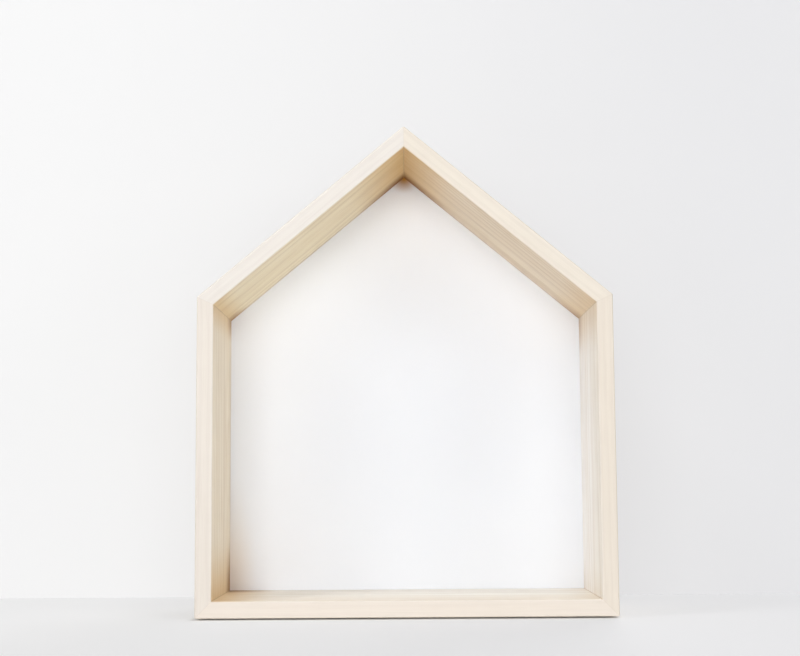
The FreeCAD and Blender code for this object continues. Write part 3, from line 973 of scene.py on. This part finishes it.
@dataclass
class BoardFrame:
    """The five mitred boards, with the brads that hold them and the filler over the brads."""

    size: ShelfSize = ShelfSize()
    wood: PaleSoftwood = PaleSoftwood("sanded_softwood", tone="#F0E3CB")
    # Painted shade in the inner corners: strongest at the ridge and at the lower left, where least light
    # reaches, and faint at the lower right
    painted_corner_shades: tuple[PaintedCornerShade, ...] = (
        PaintedCornerShade(Corner.RIDGE, reach_mm=45.0, strength=1.0),
        PaintedCornerShade(Corner.EAVE_LEFT, reach_mm=18.0, strength=0.7),
        PaintedCornerShade(Corner.EAVE_RIGHT, reach_mm=32.0, strength=0.5),
        PaintedCornerShade(Corner.BASE_LEFT, reach_mm=31.0, strength=0.85),
        PaintedCornerShade(Corner.BASE_RIGHT, reach_mm=18.0, strength=0.12),
    )
    brad_nodes: tuple[str, ...] = (
        "ridge_brads",
        "left_eave_brads",
        "right_eave_brads",
        "left_base_brads",
        "right_base_brads",
        "left_rail_brads",
        "right_rail_brads",
    )
    filler_nodes: tuple[str, ...] = (
        "left_wall_filler",
        "right_wall_filler",
        "left_roof_filler",
        "right_roof_filler",
    )

    def boards(self) -> tuple[Board, ...]:
        """Describes the five boards.

        Returns:
            The boards in order round the house.
        """
        rise = Corner.RIDGE.point() - Corner.EAVE_LEFT.point()
        pitch_deg = math.degrees(math.atan2(rise.z, rise.x))
        # The inner faces' tones are partly painted light and shade, lighter or darker board by board with
        # the light each face gets; the outer faces share one tone
        return (
            Board(
                "floor_board", Corner.BASE_LEFT, Corner.BASE_RIGHT,
                Grain(turn_deg=0.0, skew_deg=0.8, pith_mm=(40.0, 18.0, -95.0), figure=0.55),
                BoardTones(deep="#FCF9F2", fore="#F0E7D9", edge="#DBD3CC", panel_line_shade=0.0),
            ),
            Board(
                "right_wall_board", Corner.BASE_RIGHT, Corner.EAVE_RIGHT,
                Grain(turn_deg=90.0, skew_deg=-0.6, pith_mm=(700.0, -30.0, -60.0), figure=0.8),
                BoardTones(deep="#FAF8F5", fore="#F0EBE2", edge="#D6CEC5", panel_line_shade=0.0),
            ),
            Board(
                "right_roof_board", Corner.EAVE_RIGHT, Corner.RIDGE,
                Grain(turn_deg=-pitch_deg, skew_deg=0.9, pith_mm=(1500.0, 24.0, 160.0)),
                BoardTones(deep="#F0E1CB", fore="#F0E1CB", edge="#DAD3CA", panel_line_shade=1.0),
            ),
            Board(
                "left_roof_board", Corner.RIDGE, Corner.EAVE_LEFT,
                Grain(turn_deg=pitch_deg, skew_deg=-0.7, pith_mm=(2300.0, -12.0, 170.0)),
                BoardTones(deep="#F6E9CA", fore="#F6E9CA", edge="#DAD7D5", panel_line_shade=1.0),
            ),
            Board(
                "left_wall_board", Corner.EAVE_LEFT, Corner.BASE_LEFT,
                Grain(turn_deg=90.0, skew_deg=0.5, pith_mm=(3100.0, 35.0, 240.0)),
                BoardTones(deep="#F6EBD7", fore="#F9F0DD", edge="#D8D2CD", panel_line_shade=1.0),
            ),
        )

    def dress(self, zinc: bpy.types.Material, filler: bpy.types.Material) -> None:
        """Gives the boards, the brads and the filler their finishes.

        Args:
            zinc: Finish of the brads.
            filler: Finish of the filler.
        """
        for board in self.boards():
            painted_corner_shades = tuple(painted_corner_shade for painted_corner_shade in self.painted_corner_shades if painted_corner_shade.corner in (board.start, board.end))
            dress(board.node, self.wood.board_material(board, self.size, painted_corner_shades))
        for node in self.brad_nodes:
            dress(node, zinc)
        for node in self.filler_nodes:
            dress(node, filler)


@dataclass
class BackPanel:
    """The white panel in the boards' groove."""

    size: ShelfSize = ShelfSize()
    paint_to_mm: float = 45.0
    finish: PaintedHardboard = PaintedHardboard()
    # Painted shade on the panel: dark amber under the ridge, and a warm band up the left wall from the lower
    # left corner
    painted_panel_shades: tuple[PaintedPanelShade, ...] = (
        PaintedPanelShade(Corner.RIDGE, across_mm=14.0, upright_mm=14.0, share=1.0, tone="#BC8528"),
        PaintedPanelShade(Corner.BASE_LEFT, across_mm=24.0, upright_mm=100.0, share=0.32, tone="#D9B068"),
    )

    def dress(self) -> None:
        """Gives the panel its painted face and its bare back."""
        dress("back_panel", self.finish.material(self.size, self.painted_panel_shades, self.paint_to_mm))


@dataclass
class HangingRail:
    """The rail behind the panel, with its keyhole plates and their screws."""

    wood: PaleSoftwood = PaleSoftwood(
        "planed_pine",
        tone="#E6CFA4",
        late="#DFC59D",
        fibre="#CEB18D",
        warm="#F5EAD8",
        late_share=0.75,
        ring_mm=5.5,
        surface=Surface(roughness=(0.62, 0.78), relief_mm=0.08, relief_strength=0.5, specular=0.4),
    )
    grain: Grain = Grain(turn_deg=0.0, skew_deg=1.2, pith_mm=(4200.0, 95.0, 260.0))
    plate_nodes: tuple[str, ...] = ("left_keyhole_plate", "right_keyhole_plate")
    screw_nodes: tuple[str, ...] = ("left_plate_screws", "right_plate_screws")

    def dress(self, zinc: bpy.types.Material) -> None:
        """Gives the rail, the plates and the screws their finishes.

        Args:
            zinc: Finish of the plates and screws.
        """
        dress("hanging_rail", self.wood.plain_material("hanging_rail", self.grain))
        for node in self.plate_nodes + self.screw_nodes:
            dress(node, zinc)


@dataclass(frozen=True)
class PhotoCamera:
    """The photograph's camera, from a fit to the edges of the boards."""

    place_mm: tuple[float, float, float] = (0.89, -1018.24, 93.98)
    yaw_deg: float = -0.269
    pitch_deg: float = 5.677
    roll_deg: float = -0.376
    focal_px: float = 1344.2
    centre_row_px: float = 350.0

    def build(self) -> None:
        """Makes the camera and hands it to the scene."""
        yaw, pitch, roll = (math.radians(turn) for turn in (self.yaw_deg, self.pitch_deg, self.roll_deg))
        ahead = Vector((
            math.sin(yaw) * math.cos(pitch),
            math.cos(yaw) * math.cos(pitch),
            math.sin(pitch),
        ))
        level = Vector((math.cos(yaw), -math.sin(yaw), 0.0))
        upright = level.cross(ahead)
        right = math.cos(roll) * level + math.sin(roll) * upright
        up = math.cos(roll) * upright - math.sin(roll) * level
        data = bpy.data.cameras.new("photo_camera")
        data.sensor_width = SENSOR_MM
        data.lens = self.focal_px * SENSOR_MM / FRAME_WIDTH_PX
        data.shift_y = (self.centre_row_px - FRAME_HEIGHT_PX / 2.0) / FRAME_WIDTH_PX
        camera = bpy.data.objects.new("photo_camera", data)
        turn = Matrix((right, up, -ahead)).transposed().to_4x4()
        camera.matrix_world = Matrix.Translation(Vector(self.place_mm) * MM) @ turn
        bpy.context.scene.collection.objects.link(camera)
        bpy.context.scene.camera = camera


@dataclass(frozen=True)
class SoftLight:
    """A square soft box that faces the middle of the shelf, given by its bearing from the front."""

    name: str
    azimuth_deg: float
    elevation_deg: float
    side: float
    watts: float
    distance: float = 2.2
    aim: tuple[float, float, float] = (0.0, 0.0, 0.17)

    def build(self) -> None:
        """Makes the light."""
        data = bpy.data.lights.new(self.name, "AREA")
        data.shape = "SQUARE"
        data.size = self.side
        data.energy = self.watts
        azimuth, elevation = math.radians(self.azimuth_deg), math.radians(self.elevation_deg)
        out = Vector((
            math.sin(azimuth) * math.cos(elevation),
            -math.cos(azimuth) * math.cos(elevation),
            math.sin(elevation),
        ))
        light = bpy.data.objects.new(self.name, data)
        light.location = Vector(self.aim) + self.distance * out
        light.rotation_euler = (-out).to_track_quat("-Z", "Y").to_euler()
        bpy.context.scene.collection.objects.link(light)


@dataclass
class Studio:
    """A pale floor, a pale backdrop behind the shelf, soft light and the camera."""

    backdrop_mm: float = 126.0
    # The photograph shows a dark gap of about this height under the floor board
    floor_drop_mm: float = 1.2
    reach: float = 4.0
    sky: str = "#FCFCFF"
    sky_strength: float = 0.15
    background: str = "#EDEEF0"
    floor_paint: StagePaint = StagePaint(
        "floor_paint",
        left="#F5F5F5",
        right="#E1E1E3",
        thrown="#F0F0F0",
        plain_share=0.6,
        roughness=0.75,
    )
    backdrop_paint: StagePaint = StagePaint(
        "backdrop_paint",
        left="#F4F4F4",
        right="#E5E5E7",
        thrown="#F0F0F2",
        plain_share=0.72,
        roughness=0.8,
        one_sided=True,
    )
    camera: PhotoCamera = PhotoCamera()
    lights: tuple[SoftLight, ...] = (
        SoftLight("key_light", azimuth_deg=-10.0, elevation_deg=2.0, side=0.9, watts=20.9),
        SoftLight("fill_light", azimuth_deg=13.0, elevation_deg=0.0, side=0.6, watts=8.2),
        SoftLight("left_light", azimuth_deg=-54.0, elevation_deg=12.0, side=0.8, watts=6.2),
        SoftLight("high_light", azimuth_deg=-60.0, elevation_deg=50.0, side=0.6, watts=12.0),
        SoftLight("top_light", azimuth_deg=35.0, elevation_deg=72.0, side=0.6, watts=9.5),
        SoftLight("right_light", azimuth_deg=50.0, elevation_deg=12.0, side=0.6, watts=6.8),
        SoftLight("back_light", azimuth_deg=155.0, elevation_deg=12.0, side=1.4, watts=36.0),
    )

    def build(self) -> None:
        """Makes the stage, the lights, the surrounding light and the camera."""
        lie = Matrix.Translation((0.0, 0.0, -self.floor_drop_mm * MM))
        self._sheet("studio_floor", lie, self.floor_paint.material())
        upright = Matrix.Rotation(QUARTER_TURN, 4, "X")
        stand = Matrix.Translation((0.0, self.backdrop_mm * MM, self.reach)) @ upright
        backdrop = self._sheet("studio_backdrop", stand, self.backdrop_paint.material())
        # The backdrop takes the shelf's shadow but keeps no light off the back of the shelf
        backdrop.visible_diffuse = False
        backdrop.visible_shadow = False
        for light in self.lights:
            light.build()
        self._surroundings()
        self.camera.build()

    def _sheet(self, name: str, turn: Matrix, material: bpy.types.Material) -> bpy.types.Object:
        """Makes a flat square of the stage.

        Args:
            name: Name of the sheet.
            turn: Where the sheet lies and how it is turned.
            material: Its paint.

        Returns:
            The sheet, marked as stage.
        """
        mesh = bpy.data.meshes.new(name)
        shape = bmesh.new()
        bmesh.ops.create_grid(shape, x_segments=2, y_segments=2, size=self.reach, matrix=turn)
        shape.to_mesh(mesh)
        shape.free()
        mesh.materials.append(material)
        sheet = bpy.data.objects.new(name, mesh)
        bpy.context.scene.collection.objects.link(sheet)
        return sheet

    def _surroundings(self) -> None:
        """Makes the light all round, which the camera sees as a pale background."""
        world = bpy.data.worlds.new("studio_surroundings")
        world.use_nodes = True
        tree = world.node_tree
        tree.nodes.clear()
        light = add_node(tree, "ShaderNodeBackground", {
            "Color": linear(self.sky), "Strength": self.sky_strength,
        })
        pale = add_node(tree, "ShaderNodeBackground", {
            "Color": linear(self.background), "Strength": 1.0,
        })
        both = add_node(tree, "ShaderNodeMixShader", {
            0: seen_as_background(tree), 1: light.outputs["Background"], 2: pale.outputs["Background"],
        })
        add_node(tree, "ShaderNodeOutputWorld", {"Surface": both.outputs["Shader"]})
        bpy.context.scene.world = world


@dataclass
class HouseShelf:
    """The whole shelf."""

    boards: BoardFrame = field(default_factory=BoardFrame)
    panel: BackPanel = field(default_factory=BackPanel)
    rail: HangingRail = field(default_factory=HangingRail)

    def dress(self) -> None:
        """Gives every piece its finish."""
        zinc = ZincPlating().material()
        filler = WoodFiller().material()
        self.boards.dress(zinc, filler)
        self.panel.dress()
        self.rail.dress(zinc)


def main() -> None:
    """Dresses the shelf and sets it in the studio."""
    logging.basicConfig(level=logging.INFO, format="%(name)s: %(message)s")
    HouseShelf().dress()
    Studio().build()
    bpy.context.scene.view_settings.view_transform = "Standard"


if __name__ == "__main__":
    main()
